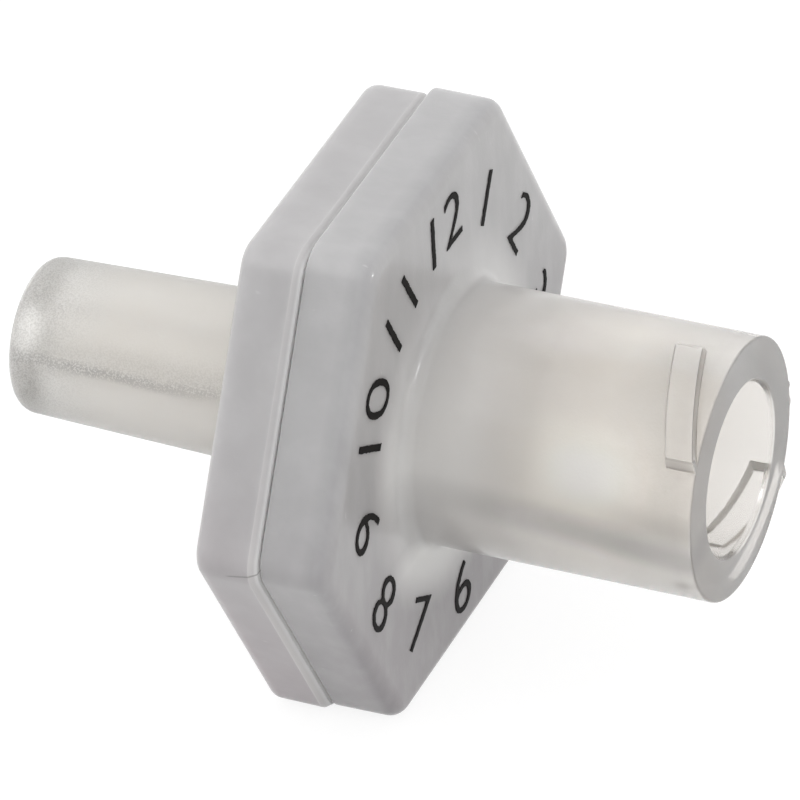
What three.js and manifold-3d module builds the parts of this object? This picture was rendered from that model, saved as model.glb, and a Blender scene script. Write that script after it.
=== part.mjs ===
// Syringe filter: two translucent polypropylene halves, welded edge to edge round a small
// membrane disc. Millimetres. The flow axis runs along X, with the inlet port at +X and the
// outlet tube at -X. The hexagonal body stands on one of its six flats, with +Z up.
import * as THREE from "three";
import { mergeVertices } from "three/addons/utils/BufferGeometryUtils.js";
import Module from "manifold-3d";

// Hexagonal body. X is 0 at the weld, where the two halves meet. Each half's wide edge is bevelled
// there, and the two bevels make a V groove round the body.
const CORNER_RADIUS = 0.85;
const GROOVE_DEPTH = 0.13;
const INLET_HALF = { acrossFlats: 13.62, depth: 1.82, draftDeg: 0.5, rimRound: 0.42, bevel: 0.07 };
const OUTLET_HALF = { acrossFlats: 13.56, depth: 1.66, draftDeg: 0.5, rimRound: 0.35, bevel: 0.19 };
// The halves were welded slightly out of line, so the outlet half sits to one side, in Y.
const WELD_OFFSET = -0.22;

// Inlet port: a female luer lock, with a 6 % bore taper and two thread lugs of 5 mm lead.
const PORT_RADIUS = 3.3;
const PORT_MOUTH_X = 9.4;
const PORT_ROOT_FILLET = 0.4;
const PORT_MOUTH_ROUND = 0.05;
const LUER_TAPER = 0.06;
const BORE_MOUTH_RADIUS = 2.16;
const BORE_LEAD_IN = 0.12;
const BORE_FLOOR_X = 1.35;
const INLET_HOLE_RADIUS = 0.75;
const LUG_CREST_RADIUS = 3.65;
const LUG_SUNK_RADIUS = 3.05;
const LUG_CREST_WIDTH = 0.74;
const LUG_ROOT_WIDTH = 0.84;
const LUG_LEAD = 5;
const LUG_START_DEG = 32.5;
const LUG_SWEEP_DEG = 60;
const LUG_END_SLOPE_DEG = 4;
const LUG_RUN_OUT_DEG = 9;
const LUG_COUNT = 2;

// Outlet tube: a male luer slip cone.
const TIP_X = -9.3;
const TIP_RADIUS = 1.965;
const TIP_ROUND = 0.42;
const TUBE_ROOT_FILLET = 0.4;
const OUTLET_BORE_RADIUS = 0.65;

// Inside: the disc lies on drain ribs in the outlet half, under a ring that the inlet half presses.
const POCKET_RADIUS = 5.85;
const POCKET_DEPTH = 0.55;
const DRAIN_RADIUS = 4.8;
const DRAIN_DEPTH = 0.25;
const CHAMBER_RADIUS = 4.7;
const CHAMBER_DEPTH = 0.35;
const SPREADER_HEIGHT = 0.2;
const RIB_WIDTH = 0.35;
const RIB_COUNT = 12;
const RIB_INNER_RADIUS = 1.35;
const CLAMP_INNER_RADIUS = 5.05;
const CLAMP_OUTER_RADIUS = 5.45;
const CLAMP_HEIGHT = 0.1;
const MEMBRANE_RADIUS = 5.5;
const MEMBRANE_THICKNESS = 0.15;
const RING_INNER_RADIUS = 4.9;
const RING_OUTER_RADIUS = 5.6;

// What a join or a cut runs past the surface that it meets.
const OVERLAP = 0.1;
const CLEARANCE = 1;

// Facets.
const ROUND_STEPS = 72;
const BORE_STEPS = 48;
const CORNER_STEPS = 5;
const RIM_STEPS = 4;
const FILLET_STEPS = 5;
const LUG_STEPS = 14;

const wasm = await Module();
wasm.setup();

const radians = THREE.MathUtils.degToRad;
// Turns a shape made about the Y axis so that it lies about the X axis.
const Y_TO_X = new THREE.Matrix4().makeBasis(
  new THREE.Vector3(0, -1, 0),
  new THREE.Vector3(1, 0, 0),
  new THREE.Vector3(0, 0, 1)
);

function toSolid(geometry) {
  const bare = geometry.clone();
  for (const name of ["normal", "uv"]) {
    bare.deleteAttribute(name);
  }
  const merged = mergeVertices(bare, 1e-5);
  return new wasm.Manifold(new wasm.Mesh({
    numProp: 3,
    vertProperties: new Float32Array(merged.attributes.position.array),
    triVerts: new Uint32Array(merged.index.array)
  }));
}

function toGeometry(solid) {
  const mesh = solid.getMesh();
  const geometry = new THREE.BufferGeometry();
  geometry.setAttribute("position", new THREE.BufferAttribute(mesh.vertProperties, 3));
  geometry.setIndex(new THREE.BufferAttribute(mesh.triVerts, 1));
  geometry.computeVertexNormals();
  return geometry;
}

// A turned shape about the X axis. The profile is a list of [x, radius].
function turned(profile, steps) {
  const points = profile.map(([x, radius]) => new THREE.Vector2(radius, x));
  return toSolid(new THREE.LatheGeometry(points, steps).applyMatrix4(Y_TO_X));
}

function cylinder(x0, x1, radius, steps) {
  return turned([[x0, 0], [x0, radius], [x1, radius], [x1, 0]], steps);
}

function tube(x0, x1, inner, outer, steps) {
  return turned([[x0, inner], [x0, outer], [x1, outer], [x1, inner], [x0, inner]], steps);
}

// Points of a quarter round, from one angle to another, as [x, radius].
function arc(centreX, centreRadius, radius, fromDeg, toDeg, steps) {
  return Array.from({ length: steps + 1 }, (_, i) => {
    const angle = radians(fromDeg + (toDeg - fromDeg) * i / steps);
    return [centreX + radius * Math.cos(angle), centreRadius + radius * Math.sin(angle)];
  });
}

// How far the corner rounds' centres lie from the axis.
function cornerDistance(apothem, cornerRadius) {
  return (apothem - cornerRadius) / Math.cos(radians(30));
}

// The hexagon's outline at a given inset, flats at top and bottom, as [y, z] points.
function hexagonRing(acrossFlats, inset) {
  const corner = CORNER_RADIUS - inset;
  const centreDistance = cornerDistance(acrossFlats / 2 - inset, corner);
  const ring = [];
  for (let side = 0; side < 6; side += 1) {
    const middle = side * 60;
    for (let i = 0; i <= CORNER_STEPS; i += 1) {
      const angle = radians(middle - 30 + 60 * i / CORNER_STEPS);
      ring.push([
        centreDistance * Math.cos(radians(middle)) + corner * Math.cos(angle),
        centreDistance * Math.sin(radians(middle)) + corner * Math.sin(angle)
      ]);
    }
  }
  return ring;
}

// A closed body lofted through hexagon outlines. The sections are a list of [x, inset].
function hexagonLoft(acrossFlats, sections) {
  const rings = sections.map(([x, inset]) => hexagonRing(acrossFlats, inset).map(([y, z]) => [x, y, z]));
  const count = rings[0].length;
  const positions = rings.flat(2);
  const index = [];
  for (let level = 0; level + 1 < rings.length; level += 1) {
    for (let i = 0; i < count; i += 1) {
      const a = level * count + i;
      const b = level * count + (i + 1) % count;
      index.push(a, b, b + count);
      index.push(a, b + count, a + count);
    }
  }
  const lastRing = (rings.length - 1) * count;
  for (let i = 1; i + 1 < count; i += 1) {
    index.push(0, i + 1, i);
    index.push(lastRing, lastRing + i, lastRing + i + 1);
  }
  const geometry = new THREE.BufferGeometry();
  geometry.setAttribute("position", new THREE.Float32BufferAttribute(positions, 3));
  geometry.setIndex(index);
  return geometry;
}

// One half's hexagonal body, from the weld at X = 0 out to its face, on the +X side.
function halfBody({ acrossFlats, depth, draftDeg, rimRound, bevel }) {
  const rimStart = depth - rimRound;
  const draft = (rimStart - bevel) * Math.tan(radians(draftDeg));
  const sections = [[0, GROOVE_DEPTH], [bevel, 0]];
  for (let i = 0; i <= RIM_STEPS; i += 1) {
    const angle = Math.PI / 2 * i / RIM_STEPS;
    sections.push([
      rimStart + rimRound * Math.sin(angle),
      draft + rimRound * (1 - Math.cos(angle))
    ]);
  }
  return hexagonLoft(acrossFlats, sections);
}

// Straight ribs like spokes, between two radii, through a slab from x0 to x1.
function spokes(x0, x1, inner, outer) {
  const ribs = [];
  for (let i = 0; i < RIB_COUNT; i += 1) {
    const rib = new THREE.BoxGeometry(x1 - x0, outer - inner, RIB_WIDTH);
    rib.translate((x0 + x1) / 2, (inner + outer) / 2, 0);
    rib.rotateX(2 * Math.PI * i / RIB_COUNT);
    ribs.push(toSolid(rib));
  }
  return ribs.reduce((all, rib) => all.add(rib));
}

// A thread lug: a low helical rib that starts flush with the mouth and runs out at its far end.
function lug() {
  const flank = (LUG_ROOT_WIDTH - LUG_CREST_WIDTH) / 2;
  const positions = [];
  for (let i = 0; i <= LUG_STEPS; i += 1) {
    const swept = LUG_SWEEP_DEG * i / LUG_STEPS;
    const left = LUG_SWEEP_DEG - swept;
    const rise = Math.sqrt(Math.min(1, left / LUG_RUN_OUT_DEG));
    const crest = LUG_SUNK_RADIUS + (LUG_CREST_RADIUS - LUG_SUNK_RADIUS) * rise;
    const lean = LUG_END_SLOPE_DEG * left / LUG_SWEEP_DEG;
    const mouthSide = PORT_MOUTH_X - LUG_LEAD * swept / 360;
    const corners = [
      [mouthSide + flank, LUG_SUNK_RADIUS, -lean],
      [mouthSide, crest, lean],
      [mouthSide - LUG_CREST_WIDTH, crest, lean],
      [mouthSide - LUG_CREST_WIDTH - flank, LUG_SUNK_RADIUS, -lean]
    ];
    for (const [x, radius, turn] of corners) {
      const angle = radians(LUG_START_DEG + swept + turn);
      positions.push(x, -radius * Math.cos(angle), radius * Math.sin(angle));
    }
  }
  const index = [];
  for (let i = 0; i < LUG_STEPS; i += 1) {
    for (let side = 0; side < 4; side += 1) {
      const a = i * 4 + side;
      const b = i * 4 + (side + 1) % 4;
      index.push(a, b + 4, b);
      index.push(a, a + 4, b + 4);
    }
  }
  const last = LUG_STEPS * 4;
  index.push(0, 1, 2, 0, 2, 3);
  index.push(last, last + 2, last + 1, last, last + 3, last + 2);
  const geometry = new THREE.BufferGeometry();
  geometry.setAttribute("position", new THREE.Float32BufferAttribute(positions, 3));
  geometry.setIndex(index);
  return geometry;
}

function portShell() {
  const footX = INLET_HALF.depth - 2 * OVERLAP;
  const footRadius = PORT_RADIUS + PORT_ROOT_FILLET;
  const profile = [
    [footX, 0],
    [footX, footRadius],
    ...arc(INLET_HALF.depth + PORT_ROOT_FILLET, footRadius, PORT_ROOT_FILLET, 180, 270, FILLET_STEPS),
    [PORT_MOUTH_X - PORT_MOUTH_ROUND, PORT_RADIUS],
    [PORT_MOUTH_X, PORT_RADIUS - PORT_MOUTH_ROUND],
    [PORT_MOUTH_X, 0]
  ];
  return turned(profile, ROUND_STEPS);
}

function portBore() {
  const floorRadius = BORE_MOUTH_RADIUS - LUER_TAPER / 2 * (PORT_MOUTH_X - BORE_FLOOR_X);
  return turned([
    [BORE_FLOOR_X, 0],
    [BORE_FLOOR_X, floorRadius],
    [PORT_MOUTH_X - BORE_LEAD_IN, BORE_MOUTH_RADIUS],
    [PORT_MOUTH_X, BORE_MOUTH_RADIUS + BORE_LEAD_IN],
    [PORT_MOUTH_X + CLEARANCE, BORE_MOUTH_RADIUS + BORE_LEAD_IN],
    [PORT_MOUTH_X + CLEARANCE, 0]
  ], BORE_STEPS);
}

function portLugs() {
  const lugs = [];
  for (let i = 0; i < LUG_COUNT; i += 1) {
    lugs.push(toSolid(lug().rotateX(2 * Math.PI * i / LUG_COUNT)));
  }
  const beyondMouth = cylinder(
    PORT_MOUTH_X, PORT_MOUTH_X + CLEARANCE, LUG_CREST_RADIUS + CLEARANCE, BORE_STEPS
  );
  return lugs.reduce((all, one) => all.add(one)).subtract(beyondMouth);
}

function inletHousing() {
  const inletHole = cylinder(0, BORE_FLOOR_X + CLEARANCE, INLET_HOLE_RADIUS, BORE_STEPS);
  const chamber = cylinder(-CLEARANCE, CHAMBER_DEPTH, CHAMBER_RADIUS, BORE_STEPS);
  const spreader = spokes(
    CHAMBER_DEPTH - SPREADER_HEIGHT, CHAMBER_DEPTH + OVERLAP, RIB_INNER_RADIUS, CHAMBER_RADIUS + OVERLAP
  );
  const clampBead = tube(-CLAMP_HEIGHT, OVERLAP, CLAMP_INNER_RADIUS, CLAMP_OUTER_RADIUS, BORE_STEPS);
  return toSolid(halfBody(INLET_HALF))
    .add(portShell())
    .add(portLugs())
    .subtract(portBore())
    .subtract(inletHole)
    .subtract(chamber)
    .add(spreader)
    .add(clampBead);
}

function outletTube() {
  const backX = -OUTLET_HALF.depth;
  const filletX = backX - TUBE_ROOT_FILLET;
  const rootRadius = TIP_RADIUS + LUER_TAPER / 2 * (filletX - TIP_X);
  const footRadius = rootRadius + TUBE_ROOT_FILLET;
  const footX = backX + 2 * OVERLAP;
  return turned([
    [TIP_X, 0],
    ...arc(TIP_X + TIP_ROUND, TIP_RADIUS - TIP_ROUND, TIP_ROUND, 180, 90, FILLET_STEPS),
    ...arc(filletX, footRadius, TUBE_ROOT_FILLET, 270, 360, FILLET_STEPS),
    [footX, footRadius],
    [footX, 0]
  ], ROUND_STEPS);
}

function outletHousing() {
  const drainFloor = -POCKET_DEPTH - DRAIN_DEPTH;
  const pocket = cylinder(-POCKET_DEPTH, CLEARANCE, POCKET_RADIUS, BORE_STEPS);
  const drain = cylinder(drainFloor, 0, DRAIN_RADIUS, BORE_STEPS);
  const outletBore = cylinder(TIP_X - CLEARANCE, 0, OUTLET_BORE_RADIUS, BORE_STEPS);
  const drainRibs = spokes(
    drainFloor - OVERLAP, -POCKET_DEPTH, RIB_INNER_RADIUS, DRAIN_RADIUS + OVERLAP
  );
  return toSolid(halfBody(OUTLET_HALF).rotateY(Math.PI))
    .add(outletTube())
    .subtract(pocket)
    .subtract(drain)
    .subtract(outletBore)
    .add(drainRibs);
}

function membraneDisc() {
  return cylinder(-POCKET_DEPTH, -POCKET_DEPTH + MEMBRANE_THICKNESS, MEMBRANE_RADIUS, BORE_STEPS);
}

function membraneRing() {
  return tube(
    -POCKET_DEPTH + MEMBRANE_THICKNESS, -CLAMP_HEIGHT, RING_INNER_RADIUS, RING_OUTER_RADIUS, BORE_STEPS
  );
}

function piece(name, solid, finish) {
  const mesh = new THREE.Mesh(toGeometry(solid), new THREE.MeshStandardMaterial(finish));
  mesh.name = name;
  return mesh;
}

// How far a half's rounded corners reach from its axis, in Y.
function cornerReach({ acrossFlats }) {
  return cornerDistance(acrossFlats / 2, CORNER_RADIUS) + CORNER_RADIUS;
}

const clearPlastic = { color: 0xd8d8d6, roughness: 0.35, metalness: 0 };
const filter = new THREE.Group();
const outletSide = new THREE.Group();
filter.add(piece("inlet_housing", inletHousing(), clearPlastic));
outletSide.add(piece("outlet_housing", outletHousing(), clearPlastic));
outletSide.add(piece("membrane", membraneDisc(), { color: 0xf7f7f4, roughness: 0.9, metalness: 0 }));
outletSide.add(piece("membrane_ring", membraneRing(), { color: 0xe9e9e5, roughness: 0.6, metalness: 0 }));
// Both halves' lowest flats are level, though the outlet half is a little smaller.
outletSide.position.set(0, WELD_OFFSET, (OUTLET_HALF.acrossFlats - INLET_HALF.acrossFlats) / 2);
filter.add(outletSide);

// The body stands on its lowest flat, and the middle of the whole lies over the origin.
const nearReach = WELD_OFFSET - cornerReach(OUTLET_HALF);
const farReach = cornerReach(INLET_HALF);
filter.position.set(
  -(PORT_MOUTH_X + TIP_X) / 2,
  -(nearReach + farReach) / 2,
  INLET_HALF.acrossFlats / 2
);

export default filter;
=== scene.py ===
"""Looks for the syringe filter: two welded polypropylene halves with a membrane between them.

The flow axis runs along X. The inlet port is at +X and the outlet tube at -X. Sizes in the
constants are millimetres, and everything that reaches Blender is metres.
"""

import math

import bmesh
import bpy
from mathutils import Matrix, Vector


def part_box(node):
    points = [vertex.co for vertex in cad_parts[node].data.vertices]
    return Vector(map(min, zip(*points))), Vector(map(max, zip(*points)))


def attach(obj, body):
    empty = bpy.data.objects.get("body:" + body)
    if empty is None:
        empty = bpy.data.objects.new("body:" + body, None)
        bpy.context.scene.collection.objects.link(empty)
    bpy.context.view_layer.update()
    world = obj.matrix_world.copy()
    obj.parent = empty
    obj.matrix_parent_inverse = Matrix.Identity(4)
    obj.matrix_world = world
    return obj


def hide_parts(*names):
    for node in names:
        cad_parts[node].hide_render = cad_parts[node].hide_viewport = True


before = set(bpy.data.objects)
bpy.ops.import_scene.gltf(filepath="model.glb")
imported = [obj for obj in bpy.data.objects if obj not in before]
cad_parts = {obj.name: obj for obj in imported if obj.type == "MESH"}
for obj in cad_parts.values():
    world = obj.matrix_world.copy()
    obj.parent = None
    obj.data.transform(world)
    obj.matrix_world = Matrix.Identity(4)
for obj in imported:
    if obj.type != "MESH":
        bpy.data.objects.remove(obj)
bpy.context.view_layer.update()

MM = 0.001

# ---------------------------------------------------------------- sizes of the real thing

# Hexagonal body. A bevel is half of the groove at the weld.
CORNER_RADIUS = 0.88
GROOVE_DEPTH = 0.13
GROOVE_EDGE_ROUND = 0.03
DRAFT = math.tan(math.radians(0.5))
INLET_BODY = {"depth": 1.82, "rim_round": 0.42, "bevel": 0.07}
OUTLET_BODY = {"depth": 1.66, "rim_round": 0.35, "bevel": 0.19}

# Inlet port with its luer bore.
PORT_RADIUS = 3.3
PORT_ROOT_FILLET = 0.4
PORT_MOUTH_ROUND = 0.05
BORE_MOUTH_RADIUS = 2.16
BORE_MOUTH_ROUND = 0.02
BORE_LEAD_IN = 0.12
BORE_LEAD_ROUND = 0.04
BORE_FLOOR_RADIUS = 1.9185
BORE_FLOOR_X = 1.35
BORE_FLOOR_ROUND = 0.15
INLET_HOLE_RADIUS = 0.75
INLET_HOLE_ROUND = 0.05

# Two burrs left on the outer edge of the mouth: the angle above +Y, and half the width.
BURRS = [(math.radians(6.5), 0.11), (math.radians(-2.3), 0.15)]
BURR_HEIGHT = 0.07
BURR_LENGTH = 0.14

# Thread lugs on the port.
LUG_CREST_RADIUS = 3.65
LUG_SUNK_RADIUS = 3.05
LUG_CREST_WIDTH = 0.74
LUG_ROOT_WIDTH = 0.84
LUG_EDGE = 0.04
LUG_EDGE_HEIGHTS = (0.85, 1.0)
LUG_LEAD = 5.0
LUG_START = math.radians(32.5)
LUG_SWEEP = math.radians(60)
LUG_END_SLOPE = math.radians(4)
LUG_RUN_OUT = math.radians(9)
LUG_COUNT = 2
LUG_FINENESS = {"Vertices X": 73, "Vertices Y": 7, "Vertices Z": 9}

# Outlet tube.
TIP_RADIUS = 1.965
TIP_ROUND = 0.42
TUBE_TAPER = 0.03
TUBE_ROOT_FILLET = 0.4
OUTLET_BORE_RADIUS = 0.65
OUTLET_BORE_ROUND = 0.08

# Inside.
INSIDE_ROUND = 0.08
SEAT_ROUND = 0.03
POCKET_RADIUS = 5.85
POCKET_DEPTH = 0.55
DRAIN_RADIUS = 4.8
DRAIN_DEPTH = 0.25
CHAMBER_RADIUS = 4.7
CHAMBER_EDGE_ROUND = 0.02
CHAMBER_DEPTH = 0.35
SPREADER_HEIGHT = 0.2
RIB_WIDTH = 0.35
RIB_COUNT = 12
RIB_INNER_RADIUS = 1.35
RIB_OVERLAP = 0.1
RIB_FINENESS = {"Vertices X": 3, "Vertices Y": 12, "Vertices Z": 3}
BEAD_INNER_RADIUS = 5.05
BEAD_OUTER_RADIUS = 5.45
BEAD_HEIGHT = 0.1
MEMBRANE_RADIUS = 5.5
MEMBRANE_THICKNESS = 0.15
MEMBRANE_CENTRE_RADIUS = 0.02
RING_INNER_RADIUS = 4.9
RING_OUTER_RADIUS = 5.6
RING_EDGE_ROUND = 0.04

# Air left between surfaces that touch, so that no two lie in one plane.
AIR = 0.003

# Printed ring of numbers on the inlet face.
PRINT_COUNT = 12
PRINT_RADIUS = 5.22
PRINT_LOW_RADIUS = 5.42
PRINT_LOW = range(4, 9)
PRINT_HEIGHT = 1.55
PRINT_THICKNESS = 0.02
PRINT_WIDEN = 1.15
PRINT_LETTER_SIZE = 1.37 * PRINT_HEIGHT
PRINT_EDGE_STEP = 0.04
PRINT_THINNING = 0.03
PRINT_UNEVENNESS = 0.08
PRINT_WEAR_PER_MM = 9.0
PRINT_LARGEST_SPECK = 0.002

# Fineness of the moulded shapes.
CORNER_SAMPLES = 12
FLAT_SAMPLES = 36
ROW_SPACING = 0.3
SUPPORT_SPACING = 0.03
SUPPORTED_FROM = 5 * SUPPORT_SPACING
ROUND_STEP_DEG = 11
SHARP_EDGE = math.radians(33)

# Metres within which two vertices are one.
SAME_PLACE = 1e-8
SAME_PLACE_IN_PRINT = 1e-7


# ---------------------------------------------------------------- node writing


class Term:
    """An output socket of a node, with arithmetic that adds the Math nodes it needs."""

    def __init__(self, bench, node, socket):
        self.bench, self.node, self.socket = bench, node, socket

    def out(self, name):
        return Term(self.bench, self.node, self.node.outputs[name])

    def math(self, operation, *others):
        sockets = dict(enumerate((self, *others)))
        return self.bench.node("ShaderNodeMath", {"operation": operation}, sockets)

    def __add__(self, other):
        return self.math("ADD", other)

    __radd__ = __add__

    def __sub__(self, other):
        return self.math("SUBTRACT", other)

    def __rsub__(self, other):
        return self.bench.value(other).math("SUBTRACT", self)

    def __mul__(self, other):
        return self.math("MULTIPLY", other)

    __rmul__ = __mul__

    def __truediv__(self, other):
        return self.math("DIVIDE", other)

    def __rtruediv__(self, other):
        return self.bench.value(other).math("DIVIDE", self)

    def __pow__(self, other):
        return self.math("POWER", other)

    def __lt__(self, other):
        return self.math("LESS_THAN", other)

    def __gt__(self, other):
        return self.math("GREATER_THAN", other)

    def least(self, other):
        return self.math("MINIMUM", other)

    def most(self, other):
        return self.math("MAXIMUM", other)

    def sin(self):
        return self.math("SINE")

    def cos(self):
        return self.math("COSINE")

    def size(self):
        return self.math("ABSOLUTE")

    def between(self, low, high):
        """0 below low, 1 above high, and smooth in between."""
        settings = {"interpolation_type": "SMOOTHSTEP"}
        sockets = {"Value": self, "From Min": low, "From Max": high}
        return self.bench.node("ShaderNodeMapRange", settings, sockets)


class Bench:
    """A node tree that is being written."""

    def __init__(self, tree):
        self.tree = tree
        tree.nodes.clear()

    def node(self, kind, settings=None, sockets=None, out=0):
        made = self.tree.nodes.new(kind)
        for name, value in (settings or {}).items():
            if name == "stops":
                self.set_stops(made.color_ramp, value)
            else:
                setattr(made, name, value)
        for name, value in (sockets or {}).items():
            for one in value if isinstance(value, list) else [value]:
                if isinstance(one, Term):
                    self.tree.links.new(one.socket, made.inputs[name])
                else:
                    made.inputs[name].default_value = one
        return Term(self, made, made.outputs[out] if made.outputs else None)

    @staticmethod
    def set_stops(ramp, stops):
        while len(ramp.elements) < len(stops):
            ramp.elements.new(1)
        for element, (position, colour) in zip(ramp.elements, stops):
            element.position = position
            element.color = (*colour, 1)

    def value(self, number):
        """A plain number at the left of an expression, as the first input of a Math node."""
        return self.node("ShaderNodeMath", {"operation": "ADD"}, {0: number, 1: 0.0})

    def parts(self, vector):
        made = self.node("ShaderNodeSeparateXYZ", None, {"Vector": vector})
        return made.out("X"), made.out("Y"), made.out("Z")

    def vector(self, x, y, z):
        return self.node("ShaderNodeCombineXYZ", None, {"X": x, "Y": y, "Z": z})

    def scaled(self, vector, factors):
        settings = {"operation": "MULTIPLY"}
        return self.node("ShaderNodeVectorMath", settings, {0: vector, 1: factors})

    def mix(self, factor, first, second):
        """A colour from first to second as factor goes from 0 to 1."""
        pair = [c if isinstance(c, Term) else (*c, 1) for c in (first, second)]
        sockets = {0: factor, 6: pair[0], 7: pair[1]}
        return self.node("ShaderNodeMix", {"data_type": "RGBA"}, sockets, out=2)

    def along(self, distance, stops):
        """A colour that changes with a distance, given as (distance, colour) pairs."""
        reach = stops[-1][0]
        settings = {"stops": [(place / reach, colour) for place, colour in stops]}
        return self.node("ShaderNodeValToRGB", settings, {"Fac": distance / reach})

    def level(self, distance, stops):
        """A number that changes with a distance, given as (distance, number) pairs."""
        return self.along(distance, [(place, (number,) * 3) for place, number in stops])

    def noise(self, place, scale, detail, roughness):
        sockets = {"Vector": place, "Scale": scale, "Detail": detail, "Roughness": roughness}
        return self.node("ShaderNodeTexNoise", None, sockets)


def new_material(name):
    material = bpy.data.materials.new(name)
    material.use_nodes = True
    return material, Bench(material.node_tree)


def finish_material(bench, shader):
    bench.node("ShaderNodeOutputMaterial", None, {"Surface": shader})


def object_place(bench, axis=(0, 0, 0)):
    """Object coordinates in millimetres, measured from a point."""
    place = bench.node("ShaderNodeTexCoord").out("Object")
    moved = bench.node(
        "ShaderNodeVectorMath", {"operation": "SUBTRACT"}, {0: place, 1: tuple(axis)}
    )
    return bench.scaled(moved, (1 / MM,) * 3)


# ---------------------------------------------------------------- camera

# The camera's clip range is metres, and its other lengths are millimetres.
CAMERA_LENS = 450
CAMERA_SENSOR = 36
CAMERA_CLIP = (0.01, 3)
CAMERA_AZIMUTH = math.radians(24.93)
CAMERA_ELEVATION = math.radians(34.83)
CAMERA_ROLL = math.radians(-3.3)
CAMERA_DISTANCE = 245.52
CAMERA_TARGET = Vector((0.318, 0.198, 6.727))


def place_camera():
    data = bpy.data.cameras.new("studio_camera")
    data.lens = CAMERA_LENS
    data.sensor_width = CAMERA_SENSOR
    data.clip_start, data.clip_end = CAMERA_CLIP
    camera = bpy.data.objects.new("studio_camera", data)
    bpy.context.scene.collection.objects.link(camera)
    back = Vector((
        math.sin(CAMERA_AZIMUTH) * math.cos(CAMERA_ELEVATION),
        -math.cos(CAMERA_AZIMUTH) * math.cos(CAMERA_ELEVATION),
        math.sin(CAMERA_ELEVATION),
    ))
    turn = (-back).to_track_quat("-Z", "Y").to_matrix().to_4x4()
    place = Matrix.Translation((CAMERA_TARGET + back * CAMERA_DISTANCE) * MM)
    camera.matrix_world = place @ turn @ Matrix.Rotation(CAMERA_ROLL, 4, "Z")
    bpy.context.scene.camera = camera


# ---------------------------------------------------------------- moulded shapes

inlet_low, inlet_high = (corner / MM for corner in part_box("inlet_housing"))
outlet_low, outlet_high = (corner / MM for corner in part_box("outlet_housing"))
WELD_X = outlet_high.x
INLET_AXIS = (inlet_low + inlet_high) / 2
OUTLET_AXIS = (outlet_low + outlet_high) / 2
INLET_HALF_FLATS = (inlet_high.z - inlet_low.z) / 2
OUTLET_HALF_FLATS = (outlet_high.z - outlet_low.z) / 2
MOUTH_X = inlet_high.x - WELD_X
TIP_X = WELD_X - outlet_low.x


def edge_round(before, corner, after, radius):
    """Points of a round of that radius between two straight runs of a profile."""
    towards = [(Vector(p) - Vector(corner)).normalized() for p in (before, after)]
    half = towards[0].angle(towards[1]) / 2
    centre = Vector(corner) + (towards[0] + towards[1]).normalized() * radius / math.sin(half)
    reach = radius / math.tan(half)
    start, end = (Vector(corner) + way * reach - centre for way in towards)
    turn = start.angle_signed(end)
    steps = max(2, math.ceil(math.degrees(abs(turn)) / ROUND_STEP_DEG))
    points = []
    for i in range(steps + 1):
        angle = -turn * i / steps
        cos, sin = math.cos(angle), math.sin(angle)
        points.append(centre + Vector((start.x * cos - start.y * sin, start.x * sin + start.y * cos)))
    return points


def rounded(profile):
    """A closed profile of (x, radius, edge round) as a list of points."""
    points = []
    for i, (x, radius, edge) in enumerate(profile):
        if edge:
            before, after = profile[i - 1][:2], profile[(i + 1) % len(profile)][:2]
            points += edge_round(before, (x, radius), after, edge)
        else:
            points.append(Vector((x, radius)))
    return points


def hexagon_outline(apothem, half_flats):
    """A hexagon with rounded corners, at an apothem inside the full one, as (y, z) points."""
    corner = CORNER_RADIUS - (half_flats - apothem)
    reach = (half_flats - CORNER_RADIUS) / math.cos(math.radians(30))
    corners = []
    for side in range(6):
        middle = math.radians(60 * side)
        centre = Vector((math.cos(middle), math.sin(middle))) * reach
        for i in range(CORNER_SAMPLES + 1):
            angle = middle + math.radians(60) * (i / CORNER_SAMPLES - 0.5)
            corners.append(centre + Vector((math.cos(angle), math.sin(angle))) * corner)
    ring = []
    for i, point in enumerate(corners):
        ring.append(point)
        if i % (CORNER_SAMPLES + 1) == CORNER_SAMPLES:
            following = corners[(i + 1) % len(corners)]
            ring += [point.lerp(following, k / FLAT_SAMPLES) for k in range(1, FLAT_SAMPLES)]
    return ring


def ring_at(radius, half_flats):
    """The outline at one place of a profile: hexagonal outside the pocket, round inside it."""
    if radius > POCKET_RADIUS + AIR:
        return hexagon_outline(radius, half_flats)
    return [p.normalized() * radius for p in hexagon_outline(half_flats, half_flats)]


def rows_between(first, second, distance):
    """Even rows between two rings, with one close to each end to hold the edge's shape."""
    count = math.ceil(distance / ROW_SPACING)
    shares = [i / count for i in range(1, count)]
    if distance > SUPPORTED_FROM:
        shares = sorted({SUPPORT_SPACING / distance, *shares, 1 - SUPPORT_SPACING / distance})
    return [[a.lerp(b, t) for a, b in zip(first, second)] for t in shares]


def moulded(name, profile, half_flats, axis, side):
    """A closed shell through the rings of a closed profile, on one side of the weld."""
    points = rounded(profile)
    rings = []
    for i, point in enumerate(points):
        following = points[(i + 1) % len(points)]
        ring = [Vector((point.x, *p)) for p in ring_at(point.y, half_flats)]
        next_ring = [Vector((following.x, *p)) for p in ring_at(following.y, half_flats)]
        rings.append(ring)
        rings += rows_between(ring, next_ring, (following - point).length)
    count = len(rings[0])
    origin = Vector((WELD_X, axis.y, axis.z))
    vertices = [(origin + Vector((side * v.x, v.y, v.z))) * MM for ring in rings for v in ring]
    faces = []
    for row in range(len(rings)):
        here, there = row * count, (row + 1) % len(rings) * count
        for i in range(count):
            j = (i + 1) % count
            faces.append((here + i, here + j, there + j, there + i))
    mesh = bpy.data.meshes.new(name)
    mesh.from_pydata(vertices, [], faces)
    return new_piece(name, mesh)


def new_piece(name, mesh):
    piece = bpy.data.objects.new(name, mesh)
    bpy.context.scene.collection.objects.link(piece)
    close_shell(mesh)
    return piece


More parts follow.
